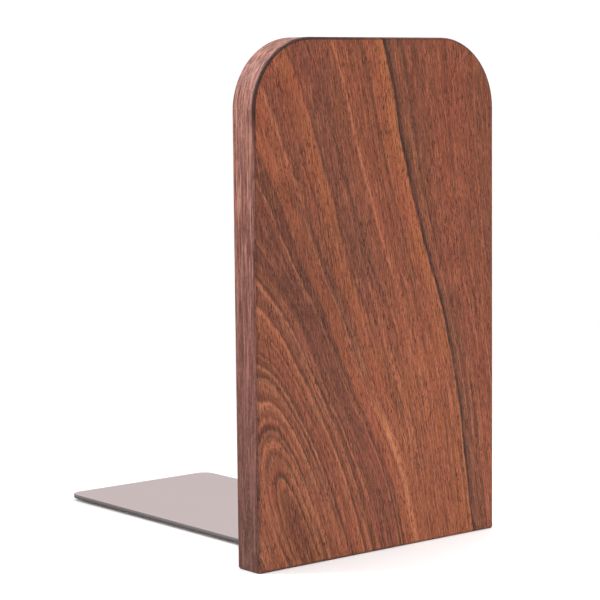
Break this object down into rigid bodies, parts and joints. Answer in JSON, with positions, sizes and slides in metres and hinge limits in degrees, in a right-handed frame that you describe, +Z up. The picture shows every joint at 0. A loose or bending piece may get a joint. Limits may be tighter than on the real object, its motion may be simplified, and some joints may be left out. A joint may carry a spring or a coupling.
{
  "type": "book end",
  "caption": "Upright walnut board with rounded top corners on a folded sheet-steel base that slides under the books.",
  "frame": {"origin": "middle of the whole footprint, on the shelf", "axes": "+Z up; -Y out of the board's show face; +Y along the steel base, towards the books; +X to the right seen from the show face"},
  "size_m": [0.11, 0.15, 0.18],
  "materials": {
    "walnut": "oiled American walnut, satin",
    "plate": "satin, warm grey",
    "screw_steel": "zinc plated",
    "dot_rubber": "matt"
  },
  "bodies": {
    "root": {"board": "walnut", "bracket": "plate", "screw_top_left": "screw_steel", "screw_top_right": "screw_steel", "screw_low_left": "screw_steel", "screw_low_right": "screw_steel", "dot_near_left": "dot_rubber", "dot_near_right": "dot_rubber", "dot_far_left": "dot_rubber", "dot_far_right": "dot_rubber"}
  },
  "joints": []
}
